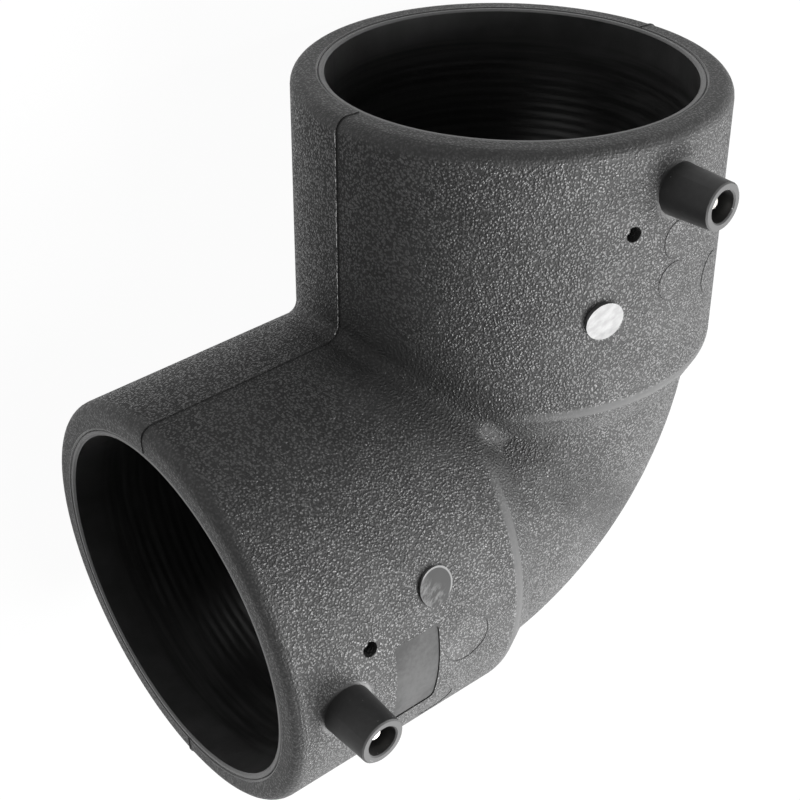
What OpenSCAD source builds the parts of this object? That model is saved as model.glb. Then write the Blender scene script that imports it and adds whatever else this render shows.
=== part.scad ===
// Electrofusion elbow: a 90 degree pipe fitting, moulded in one piece round two wound sleeves.
// The sockets open towards +X and +Y and the contact pins point along +Z. The fitting lies on its side
// with its lowest line on z = 0, and its middle in plan is at x = 0, y = 0.

/* [Pipe and sockets] */
// Outside diameter of the pipe that both sockets take
pipe_od = 110; // [90:1:125]
// Radial gap between the pipe and the socket bore
pipe_gap = 0.25; // [0.1:0.05:0.5]
// Depth that the pipe goes in, from the mouth to the stop
socket_depth = 72.5; // [66:0.5:90]
// Wall of the socket at the mouth, sleeve included
mouth_wall = 10; // [8:0.5:14]
// Wall of the socket at the shoulder, sleeve included
shoulder_wall = 12.5; // [10:0.5:18]
// Material between the inner ends of the two sleeves
sleeve_land = 4.9; // [2:0.1:12]
// Radius of the rounded outer edge of the mouth
mouth_round = 4; // [1:0.5:6]
// Radius of the rounded edge of the shoulder
shoulder_round = 3; // [1:0.5:6]
// Angle of the shoulder's chamfer to the socket axis
shoulder_angle = 26; // [20:0.5:32]
// Distance from the end of the bend out to the shoulder's edge
shoulder_shift = 2.4; // [0:0.1:6]

/* [Bend] */
// Height of the step that stops the pipe
stop_step = 7.25; // [4:0.25:9]
// Wall of the bend
bend_wall = 14; // [12:0.5:16]
// Smallest radius on the inside of the waterway's turn
inner_turn = 4; // [2:0.5:10]
// Radius of the fillet in the corner between the sockets
crotch_fillet = 5; // [2:0.5:8]
// Height of the flash line on the parting plane
flash_h = 0.25; // [0.1:0.05:0.5]
// Width of the flash line
flash_w = 0.4; // [0.2:0.1:1]

/* [Winding] */
// Wall of the winding sleeve
sleeve_wall = 1.85; // [1.6:0.05:3]
// Diameter of the resistance wire
wire_d = 0.8; // [0.5:0.05:0.85]
// Depth of the wire under the sleeve's outside
wire_cover = 0.2; // [0.15:0.05:0.4]
// Turns of wire on each sleeve
turns = 12; // [6:1:14]
// Distance from one turn to the next
pitch = 3.2; // [2:0.1:3.4]
// Depth by which the sleeve's end lies under the mouth
sleeve_inset = 0.2; // [0.1:0.1:1]

/* [Terminals] */
// Distance of the terminal from the mouth
terminal_inset = 16.2; // [14:0.1:19]
// Height of the shroud's rim over the socket axis, less the socket's bore radius
shroud_rise = 25.75; // [23:0.25:34]
// Outside diameter of the shroud at its rim
shroud_d = 13.9; // [12.5:0.1:18]
// Draft angle of the shroud's outside
shroud_draft = 2.4; // [0.5:0.1:4]
// Inside diameter of the shroud
shroud_bore = 9.3; // [8:0.1:10.5]
// Depth of the shroud's well
shroud_depth = 12.5; // [8:0.5:13]
// Diameter of the contact pin where the lead plugs on
pin_d = 4; // [3:0.1:4.5]
// Diameter of the pin's moulded-in shank
shank_d = 5; // [4.8:0.1:5.6]
// Distance from the shroud's rim down to the end of the pin
pin_inset = 3.2; // [2:0.1:5]
// Diameter of the collar that anchors the shank
pin_collar_d = 6.4; // [6:0.1:8]

/* [Indicators and gates] */
// Distance of the indicator from the mouth
indicator_inset = 25.7; // [24:0.1:32]
// Offset of the indicator from the socket's centre plane
indicator_offset = 15.1; // [12:0.1:18]
// Diameter of the indicator's well
indicator_d = 4.6; // [3:0.1:6]
// Clearance round the indicator pin's foot
indicator_gap = 0.05; // [0.02:0.01:0.1]
// Distance of the trimmed gate from the mouth
gate_inset = 50.3; // [46:0.1:56]
// Angle of the gate from the terminal's plane
gate_angle = 19.6; // [14:0.1:28]
// Diameter of the trimmed gate
gate_d = 11.8; // [6:0.1:14]
// Height of the trimmed gate's middle over the socket
gate_h = 0.4; // [0.2:0.05:1]
// Slant of the first socket's trimmed gate
x_gate_slant = 6; // [0:0.5:8]
// Slant of the second socket's trimmed gate
y_gate_slant = 2; // [0:0.5:8]

/* [Bare plate] */
// Length of the bare plate round the socket
plate_l = 31; // [20:0.5:34]
// Width of the bare plate along the socket
plate_w = 15.5; // [10:0.5:18]
// Distance of the plate's middle from the mouth
plate_inset = 41.1; // [40:0.1:52]
// Offset of the plate's middle from the socket's centre plane
plate_offset = -4.5; // [-8:0.5:0]
// Corner radius of the bare plate
plate_round = 2; // [0.5:0.5:4]
// Depth of the bare plate
plate_depth = 0.4; // [0.2:0.1:1]

/* [Mould inserts] */
// Height that the first socket's inserts leave over the barrel
insert_h = 0.15; // [0.1:0.05:0.4]
// Depth that the second socket's inserts leave in the barrel
insert_depth = 0.15; // [0.1:0.05:0.4]

/* [Hidden] */
$fn = 96;

// Length by which a cut or a hidden foot runs past the face it serves
slack = 1;

// Turn of the seam of every revolved shape, away from the parting plane and the terminals
seam_turn = 35;

// Radii of the socket, from the bore outwards
bore_r = pipe_od / 2 + pipe_gap;
sleeve_r = bore_r + sleeve_wall;
mouth_r = bore_r + mouth_wall;
shoulder_r = bore_r + shoulder_wall;

// Places along the socket axis, from the crossing outwards
stop_x = sleeve_r + sleeve_land;
mouth_x = stop_x + socket_depth;
waterway_r = bore_r - stop_step;
turn_r = waterway_r + inner_turn;
bend_r = waterway_r + bend_wall;

// The way through the bend is a little narrower than the straight stretch inside the stop
core_step = 0.5;
bend_bore_r = waterway_r - core_step;

// The barrel tapers from the shoulder to the mouth
shoulder_x = turn_r + shoulder_shift;
taper = (shoulder_r - mouth_r) / (mouth_x - shoulder_x);
function socket_r(x) = mouth_r + taper * (mouth_x - x);

// The shoulder's chamfer runs on until it lies inside the bend
chamfer_sink = 3;
chamfer_r = bend_r - chamfer_sink;
chamfer_x = shoulder_x - (shoulder_r - chamfer_r) / tan(shoulder_angle);

// Outline of the shoulder's rounded edge, and the largest radius that it leaves on the socket
function shoulder_edge(grow) = rounded([chamfer_x, chamfer_r + grow], [shoulder_x, shoulder_r + grow],
                                       [mouth_x + grow, mouth_r + grow], shoulder_round);
widest_r = max([for (p = shoulder_edge(0)) p.y]);

// Winding: the wire starts under the contact pin and runs inwards
wire_r = wire_d / 2;
wire_gap = 0.03;
wire_path_r = sleeve_r - wire_cover - wire_r;
bed_r = wire_path_r - wire_r - wire_gap;
terminal_x = mouth_x - terminal_inset;
winding_end_x = terminal_x - turns * pitch;
lead_bend_r = 2;
lead_x = winding_end_x - lead_bend_r;
bed_margin = 0.4;
bed_start_x = terminal_x + shank_d / 2 + bed_margin;
bed_end_x = lead_x - wire_r - bed_margin;
slot_w = wire_d + 4 * wire_gap;
slot_z = bed_r - 4 * wire_gap;
lead_in = 0.6;
edge_break = 0.35;

// Terminal
shroud_z = bore_r + shroud_rise;
shroud_floor_z = shroud_z - shroud_depth;
pin_top_z = shroud_z - pin_inset;
pin_r = pin_d / 2;
pin_tip = 0.4;
pin_shoulder = 0.5;
shank_top_z = shroud_floor_z + pin_shoulder;
pin_foot_z = wire_path_r + wire_r;
collar_h = 1.2;
collar_z = (sleeve_r + shroud_floor_z) / 2 - collar_h / 2;
shroud_edge = 0.4;

// Indicator
indicator_x = mouth_x - indicator_inset;
indicator_web = 1.3;
indicator_floor_z = sqrt(pow(sleeve_r, 2) - pow(indicator_offset - indicator_d / 2, 2)) + indicator_web;
indicator_top_z = sqrt(pow(socket_r(indicator_x), 2) - pow(indicator_offset + indicator_d / 2, 2));
indicator_sunk = 1.2;
indicator_foot_h = 1.6;
indicator_stem_share = 0.64;
indicator_stem_r = indicator_d / 2 * indicator_stem_share;

// Gate and plate
gate_x = mouth_x - gate_inset;
plate_x = mouth_x - plate_inset;

// Mould inserts: distance from the mouth, offset from the socket's centre plane, diameter
x_inserts = [[31.7, -2.2, 11.6], [44.5, -1.4, 11.6], [51.7, -25, 12.4]];
y_inserts = [[59.3, -1, 15.8], [52.1, -27.2, 12.4]];

// Moves what is drawn about the crossing of the axes to its place over the ground
module placed() {
    middle = (mouth_x - widest_r) / 2;
    translate([-middle, -middle, widest_r]) children();
}

// Gives what is drawn on the X socket its place on the Y socket, as its mirror image
module on_y_socket() {
    mirror([1, -1, 0]) children();
}

module on_both_sockets() {
    children();
    on_y_socket() children();
}

// Turns a profile of [distance along the socket, radius] round the X axis, from low on the inner side
module turned_on_x() {
    rotate([0, 90, 0]) rotate([0, 0, seam_turn]) rotate_extrude() mirror([1, -1]) children();
}

// Turns a profile of [radius, height] round the terminal's axis
module turned_at_terminal() {
    translate([terminal_x, 0, 0]) rotate([0, 0, seam_turn]) rotate_extrude() children();
}

// Points of the arc that rounds the corner b between a and c
function rounded(a, b, c, r, steps = 6) =
    let (u = (a - b) / norm(a - b), v = (c - b) / norm(c - b),
         half = acos(u * v) / 2, centre = b + (u + v) / norm(u + v) * r / sin(half),
         start = b + u * r / tan(half) - centre, stop = b + v * r / tan(half) - centre,
         from = atan2(start.y, start.x), to = atan2(stop.y, stop.x),
         sweep = (to - from > 180) ? to - from - 360 : (to - from < -180) ? to - from + 360 : to - from)
    [for (i = [0:steps]) centre + r * [cos(from + sweep * i / steps), sin(from + sweep * i / steps)]];

// Outside of one socket: chamfered shoulder, tapered barrel and rounded mouth
module socket_outside(grow = 0) {
    inner = [chamfer_x, chamfer_r + grow];
    shoulder = [shoulder_x, shoulder_r + grow];
    rim = [mouth_x + grow, mouth_r + grow];
    face = [mouth_x + grow, 0];
    turned_on_x() polygon(concat(
        [[chamfer_x, 0], inner],
        shoulder_edge(grow),
        rounded(shoulder, rim, face, mouth_round),
        [face]));
}

// A quarter turn of a round tube about the line where both shoulders start
module quarter_turn(r) {
    translate([turn_r, turn_r, 0]) rotate([0, 0, 180]) rotate_extrude(angle = 90)
        intersection() {
            translate([turn_r, 0]) circle(r);
            translate([inner_turn / 2, -r - slack]) square([turn_r + r + slack, 2 * (r + slack)]);
        }
}

// Fillet of the crease between the sockets. A ball rolls down the corner, over both barrels, both
// rounded shoulders and both chamfers, until it lies under the bend. A stop of the ball is given as
// [point of the socket's outline that it touches, slope of the outline there]
barrel_slope = atan(taper);
shoulder_tan = shoulder_round * tan((shoulder_angle + barrel_slope) / 2);
function outline_normal(slope) = [sin(slope), cos(slope)];
barrel_foot = [shoulder_x + shoulder_tan * cos(barrel_slope), shoulder_r - shoulder_tan * sin(barrel_slope)];
chamfer_foot = [shoulder_x, shoulder_r] - shoulder_tan * [cos(shoulder_angle), sin(shoulder_angle)];
shoulder_centre = barrel_foot - shoulder_round * outline_normal(barrel_slope);
function first_foot() =
    let (n = outline_normal(barrel_slope),
         x = (socket_r(0) + crotch_fillet * (n.y - n.x)) / (1 + taper))
    [x, socket_r(x)];
function ball_stops() =
    let (n = outline_normal(barrel_slope), first = first_foot(), over = 9, round = 3, down = 4, run = 11)
    concat(
        [for (i = [0:over]) [first + (barrel_foot - first) * pow(i / over, 2), barrel_slope]],
        [for (i = [1:round]) let (a = barrel_slope - (shoulder_angle + barrel_slope) * i / round)
            [shoulder_centre + shoulder_round * outline_normal(a), a]],
        [for (i = [1:down])
            [chamfer_foot - run * i / down * [cos(shoulder_angle), sin(shoulder_angle)], -shoulder_angle]]);

module crotch() {
    f = crotch_fillet;
    stops = ball_stops();
    arc_steps = 6;
    trim = 7;
    wing = 0.6;
    sink = 1.2;
    reach = 1.6;
    // Outline of the fillet where the ball of stop s touches, over (1) or under (-1) the parting plane
    function ring(s, side_z) =
        let (n = outline_normal(s[1]), q = s[0] + f * n, v = q.x,
             z = side_z * sqrt(max(0, pow(q.y, 2) - pow(v, 2))), c = [v, v, z], k = s[0].y / q.y - 1,
             a = [-f * n.x, v * k, z * k], b = [v * k, -f * n.x, z * k],
             span = acos(a * b / (f * f)),
             across_a = (b - a * cos(span)) / sin(span), across_b = (a - b * cos(span)) / sin(span))
        concat([c + (a + b) * reach, c + a * (1 + sink / f) - across_a * wing],
            [for (i = [0:arc_steps]) let (t = trim + (span - 2 * trim) * i / arc_steps)
                c + a * cos(t) + across_a * sin(t)],
            [c + b * (1 + sink / f) - across_b * wing]);
    last = len(stops) - 1;
    n = arc_steps + 4;
    rings = concat([for (i = [last:-1:1]) ring(stops[i], -1)], [for (i = [0:last]) ring(stops[i], 1)]);
    points = [for (r = rings) each r];
    walls = [for (s = [0:2 * last - 1], i = [0:n - 1])
        let (j = (i + 1) % n) [s * n + i, s * n + j, (s + 1) * n + j, (s + 1) * n + i]];
    ends = [[for (i = [n - 1:-1:0]) i], [for (i = [0:n - 1]) 2 * last * n + i]];
    polyhedron(points, concat(walls, ends), convexity = 4);
}

// The whole outside of the moulding, without the terminals
module outside(grow = 0) {
    on_both_sockets() socket_outside(grow);
    quarter_turn(bend_r + grow);
}

// Thin raised line where the two halves of the mould met
module flash() {
    intersection() {
        outside(flash_h);
        translate([-2 * mouth_x, -2 * mouth_x, -flash_w / 2]) cube([4 * mouth_x, 4 * mouth_x, flash_w]);
    }
    ball_x = first_foot().x + crotch_fillet * sin(barrel_slope);
    root_x = ball_x - crotch_fillet - slack;
    translate([0, 0, -flash_w / 2]) linear_extrude(height = flash_w) difference() {
        translate([root_x, root_x]) square(ball_x - root_x);
        translate([ball_x, ball_x]) circle(crotch_fillet - flash_h);
    }
}

// Tapered shroud round the contact pin
module shroud() {
    foot_z = sleeve_r + slack;
    rim_r = shroud_d / 2;
    foot_r = rim_r + (shroud_z - foot_z) * tan(shroud_draft);
    turned_at_terminal()
        polygon([[0, foot_z], [foot_r, foot_z], [rim_r, shroud_z - shroud_edge],
                 [rim_r - shroud_edge, shroud_z], [0, shroud_z]]);
}

module shroud_well() {
    well_r = shroud_bore / 2;
    turned_at_terminal()
        polygon([[0, shroud_floor_z], [well_r, shroud_floor_z], [well_r, shroud_z - shroud_edge],
                 [well_r + shroud_edge, shroud_z], [well_r + shroud_edge, shroud_z + slack],
                 [0, shroud_z + slack]]);
}

// Low round boss left where the gate was trimmed, highest towards the mouth and the outer side
module gate(slant) {
    high_side = 30;
    rotate([-gate_angle, 0, 0]) translate([gate_x, 0, 0]) intersection() {
        translate([0, 0, sleeve_r + slack]) cylinder(h = shoulder_r, d = gate_d);
        translate([0, 0, socket_r(gate_x) + gate_h]) rotate([0, -slant, high_side])
            translate([0, 0, -shoulder_r]) cylinder(h = shoulder_r, r = gate_d);
    }
}

// Contact pin: the shape that the moulding holds and the pin fills
module terminal_pin_shape(foot_z, top_z) {
    translate([terminal_x, 0, 0]) {
        translate([0, 0, foot_z]) cylinder(h = shank_top_z - foot_z, d = shank_d);
        translate([0, 0, collar_z]) cylinder(h = collar_h, d = pin_collar_d);
        translate([0, 0, collar_z]) cylinder(h = top_z - collar_z, r = pin_r);
    }
}

module indicator_well() {
    translate([indicator_x, indicator_offset, indicator_floor_z])
        cylinder(h = shroud_z, d = indicator_d);
}

// Part of the barrel's skin between two heights over its surface, with the outline that is given
module skin(low, high) {
    intersection() {
        translate([0, 0, sleeve_r]) linear_extrude(height = shoulder_r) children();
        turned_on_x() polygon([
            [shoulder_x, socket_r(shoulder_x) + low], [shoulder_x, socket_r(shoulder_x) + high],
            [mouth_x, socket_r(mouth_x) + high], [mouth_x, socket_r(mouth_x) + low]]);
    }
}

module insert_outlines(inserts) {
    for (i = inserts) translate([mouth_x - i[0], i[1]]) circle(d = i[2]);
}

module rounded_plate() {
    w = plate_w / 2 - plate_round;
    l = plate_l / 2 - plate_round;
    square([plate_w - 2 * plate_round, plate_l], center = true);
    square([plate_w, plate_l - 2 * plate_round], center = true);
    for (sx = [-1, 1], sy = [-1, 1]) translate([sx * w, sy * l]) circle(plate_round);
}

// The way of the pipe, the sleeve and the water through one socket
module socket_inside() {
    turned_on_x() polygon([
        [turn_r, 0], [turn_r, waterway_r], [stop_x, waterway_r], [stop_x, sleeve_r],
        [mouth_x - edge_break, sleeve_r], [mouth_x, sleeve_r + edge_break],
        [mouth_x + slack, sleeve_r + edge_break], [mouth_x + slack, 0]]);
}

// The lead between the windings: it leaves each one in a small bend, runs straight along the socket
// and takes a quarter turn through the wall of the bend
module lead() {
    on_both_sockets() translate([lead_x, 0, wire_path_r]) rotate_extrude(angle = 90)
        translate([lead_bend_r, 0]) circle(wire_r);
    lead_run(wire_r, lead_x);
}

// The stretch of the lead between two places at the same distance along the sockets
module lead_run(r, end_x) {
    arc_r = turn_r - lead_bend_r;
    on_both_sockets() translate([turn_r, lead_bend_r, wire_path_r]) rotate([0, 90, 0])
        cylinder(h = end_x - turn_r, r = r);
    translate([turn_r, turn_r, wire_path_r]) rotate([0, 0, 180]) rotate_extrude(angle = 90)
        translate([arc_r, 0]) circle(r);
}

module body() {
    color([0.13, 0.13, 0.14]) placed() difference() {
        union() {
            crotch();
            flash();
            shroud();
            on_y_socket() shroud();
            gate(x_gate_slant);
            on_y_socket() gate(y_gate_slant);
            skin(-slack, insert_h) insert_outlines(x_inserts);
            outside();
        }
        quarter_turn_waterway();
        on_both_sockets() {
            socket_inside();
            shroud_well();
            terminal_pin_shape(sleeve_r - slack, shroud_z);
            indicator_well();
        }
        lead_run(wire_r + wire_gap, stop_x + slack / 2);
        on_y_socket() {
            skin(-plate_depth, slack) translate([plate_x, plate_offset]) rounded_plate();
            skin(-insert_depth, slack) insert_outlines(y_inserts);
        }
    }
}

// Way of the water through the bend, a little narrower than the stretch inside the stop
module quarter_turn_waterway() {
    translate([turn_r, turn_r, 0]) rotate([0, 0, 180]) rotate_extrude(angle = 90)
        translate([turn_r, 0]) circle(bend_bore_r);
}

// Winding sleeve: a thin tube with a shallow bed for the wire and a slot for its lead
module sleeve() {
    end_x = mouth_x - sleeve_inset;
    difference() {
        turned_on_x() polygon([
            [stop_x, bore_r], [stop_x, sleeve_r], [bed_end_x, sleeve_r], [bed_end_x, bed_r],
            [bed_start_x, bed_r], [bed_start_x, sleeve_r], [end_x - edge_break, sleeve_r],
            [end_x, sleeve_r - edge_break], [end_x, bore_r + lead_in], [end_x - lead_in, bore_r]]);
        translate([stop_x - slack, lead_bend_r - slot_w / 2, slot_z])
            cube([bed_end_x - stop_x + 2 * slack, slot_w, sleeve_r]);
    }
}

module x_sleeve() {
    color([0.2, 0.2, 0.21]) placed() sleeve();
}

module y_sleeve() {
    color([0.2, 0.2, 0.21]) placed() on_y_socket() sleeve();
}

// The wire: half turns that each climb half a pitch and meet squarely
module coil() {
    for (i = [0:2 * turns - 1])
        translate([terminal_x - (i + 0.5) * pitch / 2, 0, 0]) rotate([i % 2 * 180, 0, 0]) half_turn();
}

// Half circle from the top down the Y side, tilted so that it ends half a pitch further in
module half_turn() {
    tilt = atan(pitch / 4 / wire_path_r);
    rotate([0, 90 + tilt, 0]) rotate_extrude(angle = 180)
        translate([wire_path_r / cos(tilt), 0]) circle(wire_r);
}

module x_coil() {
    color([0.72, 0.5, 0.3]) placed() coil();
}

module y_coil() {
    color([0.72, 0.5, 0.3]) placed() on_y_socket() coil();
}

module link_wire() {
    color([0.72, 0.5, 0.3]) placed() lead();
}

module terminal_pin() {
    difference() {
        terminal_pin_shape(pin_foot_z, pin_top_z);
        translate([terminal_x, 0, pin_top_z - pin_tip]) rotate_extrude()
            polygon([[pin_r, 0], [pin_r + slack, 0], [pin_r + slack, pin_tip + slack],
                     [pin_r - pin_tip, pin_tip + slack], [pin_r - pin_tip, pin_tip]]);
    }
}

module x_terminal_pin() {
    color([0.8, 0.78, 0.72]) placed() terminal_pin();
}

module y_terminal_pin() {
    color([0.8, 0.78, 0.72]) placed() on_y_socket() terminal_pin();
}

// Fusion indicator: a small stem on a foot that fills the bottom of its well
module indicator() {
    foot_r = indicator_d / 2 - indicator_gap;
    top_z = indicator_top_z - indicator_sunk;
    translate([indicator_x, indicator_offset, 0]) {
        translate([0, 0, indicator_floor_z]) cylinder(h = indicator_foot_h, r = foot_r);
        translate([0, 0, indicator_floor_z])
            cylinder(h = top_z - indicator_stem_r - indicator_floor_z, r = indicator_stem_r);
        translate([0, 0, top_z - indicator_stem_r]) sphere(indicator_stem_r);
    }
}

module x_indicator() {
    color([0.25, 0.25, 0.26]) placed() indicator();
}

module y_indicator() {
    color([0.25, 0.25, 0.26]) placed() on_y_socket() indicator();
}

body();
x_sleeve();
y_sleeve();
x_coil();
y_coil();
link_wire();
x_terminal_pin();
y_terminal_pin();
x_indicator();
y_indicator();
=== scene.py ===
import math

import bpy
from mathutils import Matrix, Vector

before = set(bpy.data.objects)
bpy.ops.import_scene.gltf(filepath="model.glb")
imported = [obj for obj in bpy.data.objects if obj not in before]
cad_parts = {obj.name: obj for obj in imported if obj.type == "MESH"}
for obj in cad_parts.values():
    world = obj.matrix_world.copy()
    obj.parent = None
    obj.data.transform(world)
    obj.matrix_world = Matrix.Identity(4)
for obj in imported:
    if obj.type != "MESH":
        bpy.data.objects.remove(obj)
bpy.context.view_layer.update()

# The moulded body: one injection moulding in black polyethylene, over-moulded round the wound sleeves.
# The mould was spark-eroded, so the outside has a coarse orange-peel grain. The shoulder edge, the mouths,
# the shrouds, the trimmed gates and the bare plate were polished and came out smooth.
MM = 0.001
CROSSING = Vector((-33.387, -33.387, 67.727)) * MM

# Sizes in millimetres from the crossing of the socket axes: X is along a socket, an offset lies across it.
# A pair of sizes is where a fade starts and where it ends
SLEEVE_R, OUTSIDE_R = 57.1, 60.0
TURN_R, WATERWAY_R, WATERWAY_END = 52.0, 50.0, 60.0
SHOULDER_X, MOUTH_X = 54.4, 134.5
SHOULDER_BAND = ((SHOULDER_X - 2.2, SHOULDER_X - 1.2), (SHOULDER_X + 0.9, SHOULDER_X + 2.4))
MOUTH_FADE = (MOUTH_X - 4.6, MOUTH_X - 2.2)
TERMINAL_X, SHROUD_TOP, SHROUD_FOOT_Z = 118.3, 81.0, 55.0
SHROUD_FADE = (7.9, 9.4)
SHROUD_RIM_HIGHLIGHT = (SHROUD_TOP - 0.6, SHROUD_TOP - 0.3)
MARKS_Z = 50.0
GATE_X, GATE_ANGLE, GATE_R = 84.2, math.radians(19.6), 5.9
GATE_RIM_HIGHLIGHT = (GATE_R - 0.7, GATE_R - 0.4)
PLATE_X, PLATE_OFFSET, PLATE_HALF_W, PLATE_HALF_L = 93.4, -4.5, 7.75, 15.5
X_INSERTS = [(102.8, -2.2, 5.8), (90.0, -1.4, 5.8), (82.8, -25.0, 6.2)]
Y_INSERTS = [(75.2, -1.0, 7.9), (82.4, -27.2, 6.2)]
SHOULDER_BAND_ENDS, LOWER_HALF = (4.0, 30.0), (-0.6, 0.4)
# the reach of the painted shade in the corner between the sockets
CREASE_SHADE_WIDTH, CREASE_SHADE_REACH, CREASE_SHADE_FOOT_Z = (3.0, 26.0), (70.0, 92.0), -30.0
FLECKS_START = 60.0
PEBBLE, PEBBLE_WANDER, GRIT, PATCH = 0.76, 0.9, 0.50, 9.0
GRAIN_DEPTH, POLISH_DEPTH, PATCH_DEPTH = 0.36, 0.05, 0.15
STREAK_TURN = math.radians(-52)


class Signal:
    """A value, colour or vector on its way through a material; arithmetic on it adds Math nodes."""

    def __init__(self, socket):
        self.socket = socket

    def math(self, operation, *others):
        tree = self.socket.id_data
        return add_node(tree, "ShaderNodeMath", {"operation": operation}, dict(enumerate([self, *others])))

    def __add__(self, other):
        return self.math("ADD", other)

    def __sub__(self, other):
        return self.math("SUBTRACT", other)

    def __rsub__(self, other):
        tree = self.socket.id_data
        return add_node(tree, "ShaderNodeMath", {"operation": "SUBTRACT"}, {0: other, 1: self})

    def __mul__(self, other):
        return self.math("MULTIPLY", other)

    def __lt__(self, other):
        return self.math("LESS_THAN", other)

    def __gt__(self, other):
        return self.math("GREATER_THAN", other)

    def __abs__(self):
        return self.math("ABSOLUTE")

    __radd__ = __add__
    __rmul__ = __mul__


def add_node(tree, kind, settings, sockets, out=0):
    """Adds a node: settings are set first, then its sockets get their values or links."""
    node = tree.nodes.new(kind)
    for name, value in settings.items():
        setattr(node, name, value)
    for name, value in sockets.items():
        connect(tree, node.inputs[name], value)
    return Signal(node.outputs[out])


def connect(tree, socket, value):
    if isinstance(value, Signal):
        tree.links.new(value.socket, socket)
    else:
        socket.default_value = value


def new_finish(name):
    """A material with its Principled shader; gives both and the node tree."""
    material = bpy.data.materials.new(name)
    material.use_nodes = True
    return material, material.node_tree, material.node_tree.nodes["Principled BSDF"]


def feed(tree, shader, **sockets):
    """Sets or links sockets of a shader; an underscore in a name stands for a space."""
    for name, value in sockets.items():
        connect(tree, shader.inputs[name.replace("_", " ")], value)


def ramp(signal, low, high):
    """0 below low, 1 above high, an eased rise in between."""
    return add_node(signal.socket.id_data, "ShaderNodeMapRange", {"interpolation_type": "SMOOTHSTEP"},
                    {"Value": signal, "From Min": low, "From Max": high})


def blend(mask, off, on):
    """Colour off where the mask is 0, on where it is 1."""
    return add_node(mask.socket.id_data, "ShaderNodeMix", {"data_type": "RGBA"}, {0: mask, 6: off, 7: on}, 2)


def either(*masks):
    """The highest of the masks."""
    whole = masks[0]
    for mask in masks[1:]:
        whole = whole.math("MAXIMUM", mask)
    return whole


def distance(one_way, other_way):
    return (one_way * one_way + other_way * other_way).math("SQRT")


def grey(level):
    return (level, level, level, 1)


def position(tree):
    """Place in millimetres from the crossing of the socket axes."""
    place = add_node(tree, "ShaderNodeTexCoord", {}, {}, "Object")
    place = add_node(tree, "ShaderNodeVectorMath", {"operation": "SUBTRACT"}, {0: place, 1: CROSSING})
    return add_node(tree, "ShaderNodeVectorMath", {"operation": "SCALE"}, {0: place, 3: 1 / MM})


def axes(place):
    """The x, y and z of a place, each a signal of its own."""
    return [add_node(place.socket.id_data, "ShaderNodeSeparateXYZ", {}, {0: place}, axis) for axis in "XYZ"]


def noise(place, size, detail=2.0, rough=0.5, out="Fac"):
    """Noise whose features are about size mm across."""
    return add_node(place.socket.id_data, "ShaderNodeTexNoise", {},
                    {"Vector": place, "Scale": 1 / size, "Detail": detail, "Roughness": rough}, out)


def bump(height, depth, strength=1.0, under=None):
    """Bump of height x depth mm, on top of another bump if one is given."""
    sockets = {"Strength": strength, "Distance": depth * MM, "Height": height}
    if under:
        sockets["Normal"] = under
    return add_node(height.socket.id_data, "ShaderNodeBump", {}, sockets)


def insert_marks(along, across, on_y, on_top):
    """The round mould inserts: the face of each, and the fine line round it, dark partly as its joint and
    partly as painted shade of its step.
    """
    faces, lines_and_shade = [], []
    for own, inserts in ((1 - on_y, X_INSERTS), (on_y, Y_INSERTS)):
        for insert_x, offset, r in inserts:
            off = distance(along - insert_x, across - offset)
            faces.append((off < r) * own * on_top)
            lines_and_shade.append((1 - ramp(abs(off - r), 0.12, 0.4)) * own * on_top)
    return either(*faces), either(*lines_and_shade)


def spark_grain(tree, place):
    """Uneven pebbles with a finer grit on top, 0 in the gaps, and a few pebble tops painted lighter as
    glints.
    """
    warp = noise(place, 1.4, 1.0, 0.5, "Color")
    warped = add_node(tree, "ShaderNodeVectorMath", {"operation": "MULTIPLY_ADD"},
                      {0: warp, 1: (PEBBLE_WANDER,) * 3, 2: place})
    cells = {"Vector": warped, "Scale": 1 / PEBBLE}
    dome = 1 - ramp(add_node(tree, "ShaderNodeTexVoronoi", {"feature": "F1"}, cells), 0.10, 0.75)
    tint = add_node(tree, "ShaderNodeTexVoronoi", {"feature": "F1"}, cells, "Color")
    tint = add_node(tree, "ShaderNodeSeparateColor", {}, {0: tint})
    grit = noise(place, GRIT, 2.0, 0.6)
    grain = dome * (tint * 0.4 + 0.5) + ramp(grit, 0.3, 0.7) * 0.3
    return grain, ramp(tint, 0.86, 0.95) * ramp(dome, 0.45, 0.8)


def parting_line(place, along, z, on_y):
    """The dark step where the mould halves met, and the torn flecks beside it on the first socket."""
    side = z + noise(place, 3.0, 2.0, 0.6) * 0.3 - 0.15
    step = ramp(side, -0.05, 0.1) * (1 - ramp(side + on_y * 0.35, 0.75, 1.0))
    torn = ramp(side, -0.85, -0.6) * (1 - ramp(side, -0.05, 0.05)) * (1 - on_y) * (along > FLECKS_START)
    return step, ramp(noise(place, 1.2, 2.0, 0.6), 0.47, 0.53) * torn


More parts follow.
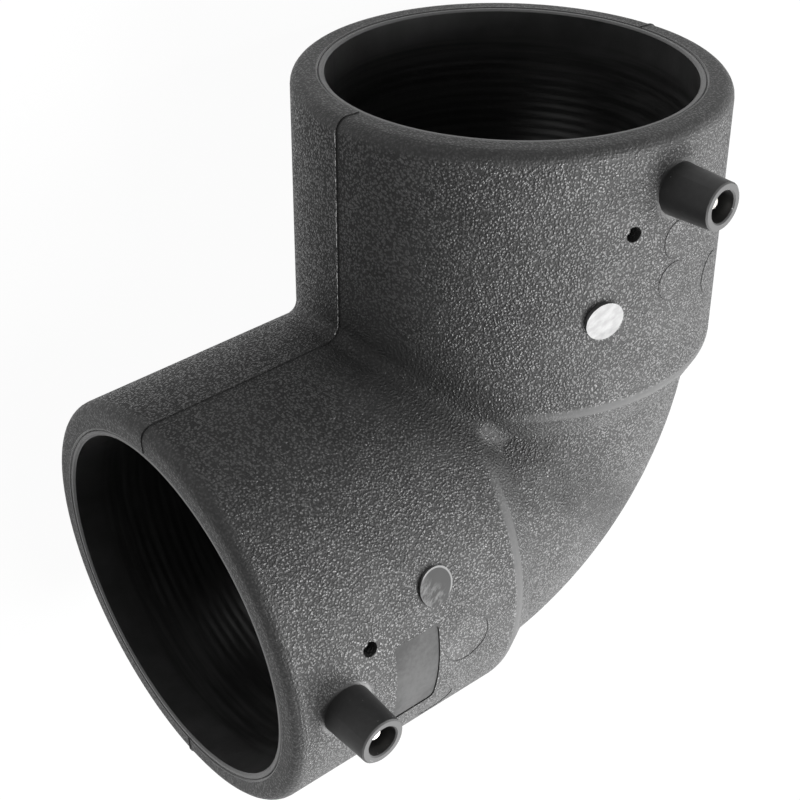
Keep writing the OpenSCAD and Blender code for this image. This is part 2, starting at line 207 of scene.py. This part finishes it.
def body_finish():
    material, tree, shader = new_finish("black_polyethylene")
    place = position(tree)
    x, y, z = axes(place)
    along = x.math("MAXIMUM", y)
    across = x.math("MINIMUM", y)
    radius = distance(across, z)
    on_y = y > x
    on_x = 1 - on_y
    on_top = z > MARKS_Z
    from_middle = abs(x - y)

    # where the mould was polished, and the inside
    from_terminal = distance(along - TERMINAL_X, across)
    shroud = (1 - ramp(from_terminal, *SHROUD_FADE)) * (z > SHROUD_FOOT_Z)
    # the top of each shroud's rim, where a highlight is painted
    shroud_rim_highlight = ramp(z, *SHROUD_RIM_HIGHLIGHT)
    gate_slant = across * math.cos(GATE_ANGLE) - z * math.sin(GATE_ANGLE)
    from_gate = distance(along - GATE_X, gate_slant)
    gate = (from_gate < GATE_R + 0.05) * on_top
    from_waterway = distance(distance(x - TURN_R, y - TURN_R) - TURN_R, z)
    inside = either((radius < SLEEVE_R + 0.6) * (along > SHOULDER_X),
                    (from_waterway < WATERWAY_R) * (along < WATERWAY_END))
    band = ramp(along, *SHOULDER_BAND[0]) * (1 - ramp(along, *SHOULDER_BAND[1]))
    band = band * (radius > OUTSIDE_R) * ramp(from_middle, *SHOULDER_BAND_ENDS)
    mouth = ramp(along, *MOUTH_FADE)
    plate = (abs(along - PLATE_X) < PLATE_HALF_W) * (abs(across - PLATE_OFFSET) < PLATE_HALF_L)
    plate = plate * on_y * on_top
    polished = either(band, shroud, gate, inside, plate, mouth * 0.45)

    # the grain keeps off the polished places and is flatter on the inserts and below the parting line
    insert, insert_line_and_shade = insert_marks(along, across, on_y, on_top)
    grained = (1 - polished) * (1 - insert * 0.15)
    grain, painted_glints = spark_grain(tree, place)
    patch = noise(place, PATCH)
    grain_height = grain * grained * (ramp(patch, 0.25, 0.75) * 0.4 + 0.6)
    grain_height = grain_height * (ramp(z, *LOWER_HALF) * 0.45 + 0.55)
    step, flecks = parting_line(place, along, z, on_y)

    # painted shade in the corner between the sockets, carried on in a stripe from there round the bend
    painted_crease_shade = (1 - ramp(from_middle, *CREASE_SHADE_WIDTH)) * (1 - ramp(along, *CREASE_SHADE_REACH)) * (z > CREASE_SHADE_FOOT_Z)

    # the cutter's streaks on the gates; the second one is pale on one half, and has a painted highlight on
    # the edge of the other
    streak = add_node(tree, "ShaderNodeMapping", {"vector_type": "TEXTURE"},
                      {"Vector": place, "Rotation": (0, 0, STREAK_TURN), "Scale": (2.4, 1.2, 1.2)})
    streak = noise(streak, 1.6, 3.0, 0.6)
    gate_half = along - GATE_X - gate_slant
    gate_rim_highlight = gate * on_y * ramp(from_gate, *GATE_RIM_HIGHLIGHT) * (1 - ramp(gate_half, -2.0, 2.0))

    # colours in layers, each over the ones before it
    shade = noise(place, 14.0, 3.0, 0.55)
    mottle = noise(place, 1.6, 3.0, 0.65)
    base = blend(ramp(grain, 0.2, 1.0), grey(0.010), grey(0.098))
    layers = [
        # a few pebble tops painted lighter, as painted glints
        (painted_glints, grey(0.110)),
        # painted shade in the corner between the sockets and round the bend
        (painted_crease_shade * 0.95, grey(0.002)),
        (ramp(shade, 0.3, 0.7) * 0.25, grey(0.070)),
        (polished * 0.85, grey(0.050)),
        (band * 0.8, blend(mottle, grey(0.055), grey(0.080))),
        (mouth * 0.6, blend(ramp(mottle, 0.35, 0.7), grey(0.022), grey(0.056))),
        (plate, blend(ramp(shade + mottle * 0.4, 0.45, 0.95), grey(0.008), grey(0.042))),
        (shroud * 0.95, blend(mottle, grey(0.014), grey(0.036))),
        # painted highlight: the shroud rims are painted lighter than the shrouds
        (shroud_rim_highlight * 0.9, grey(0.070)),
        (shroud * ramp(mottle, 0.71, 0.76), grey(0.45)),
        (inside, grey(0.016)),
        # the insert joint lines, darkened further as painted shade of the inserts' steps
        (insert_line_and_shade * 0.85, grey(0.008)),
        (step * (1 - inside) * 0.9, grey(0.010)),
        (flecks * (1 - mouth) * (1 - inside), grey(0.90)),
        # the first gate's cut face is pale, and part of its paleness is a painted reflection of the lamps
        (gate * on_x, blend(ramp(streak, 0.3, 0.72), grey(0.115), grey(0.185))),
        (gate * on_y, blend(ramp(streak, 0.45, 0.66) * ramp(gate_half, -3.0, 3.0), grey(0.024), grey(0.10))),
        # painted highlight on one half of the second gate's edge
        (gate_rim_highlight * 0.8, grey(0.20)),
    ]
    for cover, colour in layers:
        base = blend(cover, base, colour)

    # the gaps of the grain are rough and its tops glossy
    rough = 0.50 + (shade - 0.5) * 0.08 - inside * 0.26 + (mottle - 0.5) * mouth * 0.3
    rough = rough + grained * (0.25 - ramp(grain, 0.25, 0.85) * 0.52)
    rough = rough + (plate + gate * on_y + shroud_rim_highlight) * 0.30 + band * 0.30

    raised = bump(patch, PATCH_DEPTH, 0.6)
    raised = bump(mottle * polished, POLISH_DEPTH, 0.6, raised)
    raised = bump(grain_height, GRAIN_DEPTH, 1.0, raised)
    feed(tree, shader, Base_Color=base, Roughness=rough, Normal=raised, IOR=1.42)
    return material


def paint(node, material):
    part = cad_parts[node]
    part.data.materials.clear()
    part.data.materials.append(material)


paint("body", body_finish())


# The winding sleeves: thin tubes in the same polyethylene, moulded first and wound with wire. Their bores
# are the fusion faces, with a faint rib over each turn of the wire, and their ends show in the mouths.
WIRE_PITCH = 3.2
WINDING_START, WINDING_END = (78.0, 80.0), (117.0, 119.0)
SLEEVE_FACE = (MOUTH_X - 0.9, MOUTH_X - 0.4)
ENTRANCE = (124.0, 129.0)
RING_STRETCH = (0.45, 0.03, 0.03)
RIB_DEPTH, SCRATCH_DEPTH, WAVE_DEPTH = 0.05, 0.02, 0.25


def sleeve_finish():
    material, tree, shader = new_finish("winding_sleeve")
    place = position(tree)
    x, y, z = axes(place)
    along = x.math("MAXIMUM", y)
    face = ramp(along, *SLEEVE_FACE)
    ribs = (along * (2 * math.pi / WIRE_PITCH)).math("SINE")
    ribs = ribs * ramp(along, *WINDING_START) * (1 - ramp(along, *WINDING_END))
    scratch = noise(place, 0.9, 3.0, 0.6)
    cloud = noise(place, 9.0, 3.0, 0.6)
    rings = dict(enumerate(way * stretch for way, stretch in zip((along, x, z), RING_STRETCH)))
    rings = noise(add_node(tree, "ShaderNodeCombineXYZ", {}, rings), 1.0, 3.0, 0.6)
    entrance = ramp(along + rings * 4.0, *ENTRANCE)
    base = blend(ramp(rings, 0.35, 0.7), grey(0.018), grey(0.050))
    base = blend(entrance, base, blend(cloud, grey(0.026), grey(0.064)))
    base = blend(face, base, blend(scratch, grey(0.075), grey(0.14)))
    raised = bump(cloud, WAVE_DEPTH, 0.5)
    raised = bump(ribs * (1 - face), RIB_DEPTH, 0.7, raised)
    raised = bump(scratch, SCRATCH_DEPTH, 0.6, raised)
    feed(tree, shader, Base_Color=base, Roughness=face * 0.12 + 0.26 + cloud * 0.12, Normal=raised, IOR=1.52)
    return material


sleeve_material = sleeve_finish()
for name in ("x_sleeve", "y_sleeve"):
    paint(name, sleeve_material)


# The resistance wire: drawn copper-nickel wire wound on each sleeve, and the lead that joins them.
# It lies inside the moulding and is not seen from outside.
WIRE_DARK, WIRE_LIGHT = (0.46, 0.26, 0.13, 1), (0.56, 0.34, 0.19, 1)
WIRE_SCORE = 0.01


def wire_finish():
    material, tree, shader = new_finish("resistance_wire")
    drawn = noise(position(tree), 0.3, 2.0, 0.6)
    feed(tree, shader, Base_Color=blend(drawn, WIRE_DARK, WIRE_LIGHT), Metallic=1.0,
         Roughness=drawn * 0.15 + 0.25, Normal=bump(drawn, WIRE_SCORE, 0.5))
    return material


wire_material = wire_finish()
for name in ("x_coil", "y_coil", "link_wire"):
    paint(name, wire_material)


# The contact pins: turned brass, tinned, held by the moulding at the bottom of the shrouds.
# The turning tool left fine rings round them, and the tin is dulled in places.
TIN_DULL, TIN_BRIGHT = (0.62, 0.60, 0.55, 1), (0.80, 0.78, 0.74, 1)
TOOL_RINGS, TOOL_DEPTH = 18.0, 0.006


def pin_finish():
    material, tree, shader = new_finish("tinned_pin")
    place = position(tree)
    turned = (axes(place)[2] * TOOL_RINGS).math("SINE")
    wear = noise(place, 0.8, 3.0, 0.6)
    feed(tree, shader, Base_Color=blend(wear, TIN_DULL, TIN_BRIGHT), Metallic=1.0,
         Roughness=wear * 0.16 + 0.2, Normal=bump(turned, TOOL_DEPTH, 0.4))
    return material


pin_material = pin_finish()
for name in ("x_terminal_pin", "y_terminal_pin"):
    paint(name, pin_material)


# The fusion indicators: small stems of the same polyethylene at the bottom of their wells. The melt
# pushes them up when the joint is fused.
INDICATOR_SKIN = 0.02


def indicator_finish():
    material, tree, shader = new_finish("fusion_indicator")
    skin = noise(position(tree), 0.5, 3.0, 0.6)
    feed(tree, shader, Base_Color=blend(skin, grey(0.025), grey(0.06)), Roughness=skin * 0.15 + 0.3,
         Normal=bump(skin, INDICATOR_SKIN, 0.5))
    return material


indicator_material = indicator_finish()
for name in ("x_indicator", "y_indicator"):
    paint(name, indicator_material)


# The photographer's table: a plain pale floor in a white room. The camera and what shines see both as
# white. The room gives the fitting little light, and the floor keeps its shadow.
FLOOR_REACH = 6
FLOOR_SHADE, ROOM_LIGHT = 0.035, 0.05


def seen_directly(tree):
    """1 for what the camera sees, straight or in gloss or glass; 0 for what only gives light."""
    return either(*[add_node(tree, "ShaderNodeLightPath", {}, {}, ray)
                    for ray in ("Is Camera Ray", "Is Glossy Ray", "Is Transmission Ray")])


def table_finish():
    material, tree, shader = new_finish("pale_table")
    feed(tree, shader, Base_Color=grey(0.62), Roughness=0.9)
    white = add_node(tree, "ShaderNodeEmission", {}, {"Color": grey(1.0), "Strength": 1.0})
    seen = seen_directly(tree) * (1 - FLOOR_SHADE)
    both = add_node(tree, "ShaderNodeMixShader", {}, {0: seen, 1: Signal(shader.outputs[0]), 2: white})
    feed(tree, tree.nodes["Material Output"], Surface=both)
    return material


floor_mesh = bpy.data.meshes.new("floor")
floor_corners = [(x * FLOOR_REACH, y * FLOOR_REACH, 0) for x, y in ((-1, -1), (1, -1), (1, 1), (-1, 1))]
floor_mesh.from_pydata(floor_corners, [], [(0, 1, 2, 3)])
floor = bpy.data.objects.new("floor", floor_mesh)
bpy.context.collection.objects.link(floor)
floor.data.materials.append(table_finish())

world = bpy.data.worlds.new("studio")
bpy.context.scene.world = world
world.use_nodes = True
feed(world.node_tree, world.node_tree.nodes["Background"], Color=grey(1.0),
     Strength=seen_directly(world.node_tree) * (1 - ROOM_LIGHT) + ROOM_LIGHT)


# The camera, solved from the outlines in the photograph: it looks down on the fitting from the corner
# between the sockets, rolled so that the first socket points up.
RIGHT = Vector((0.01562, -0.7428, 0.66933))
UP = Vector((0.82081, -0.37275, -0.43282))
BACK = Vector((0.57099, 0.55615, 0.60388))
CAMERA_PLACE = (0.22566, 0.22032, 0.32164)

camera = bpy.data.objects.new("camera", bpy.data.cameras.new("camera"))
bpy.context.collection.objects.link(camera)
camera.data.sensor_width = 36
camera.data.lens = 55.716
camera.data.shift_x = -0.0697
camera.data.shift_y = 0.01508
camera.data.clip_start = 0.01
camera.data.clip_end = 50
camera.matrix_world = Matrix.Translation(CAMERA_PLACE) @ Matrix((RIGHT, UP, BACK)).transposed().to_4x4()
bpy.context.scene.camera = camera


# Four square soft boxes aimed at the middle of the fitting, each placed by steps to the camera's right, up
# and back: a weak one beside the camera, a strong one nearly overhead for the tops and the bend, one from
# the side for the flanks, and a large one from behind for the edges.
MIDDLE = Vector((0, 0, 0.07))
BOX_DISTANCE = 0.9


def soft_box(name, steps, size, power):
    lamp = bpy.data.lights.new(name, "AREA")
    lamp.shape = "SQUARE"
    lamp.size = size
    lamp.energy = power
    box = bpy.data.objects.new(name, lamp)
    bpy.context.collection.objects.link(box)
    offset = BOX_DISTANCE * (steps[0] * RIGHT + steps[1] * UP + steps[2] * BACK)
    box.location = MIDDLE + offset
    box.rotation_euler = (-offset).to_track_quat("-Z", "Y").to_euler()


soft_box("key", (0.7, -0.35, 0.6), 0.4, 1.2)
soft_box("low", (0.75, -0.75, 0.1), 0.4, 19.5)
soft_box("side", (0.9, -0.2, 0.25), 0.4, 8.6)
soft_box("rim", (0.8, -0.55, -0.45), 0.9, 2.6)

bpy.context.scene.view_settings.view_transform = "Standard"
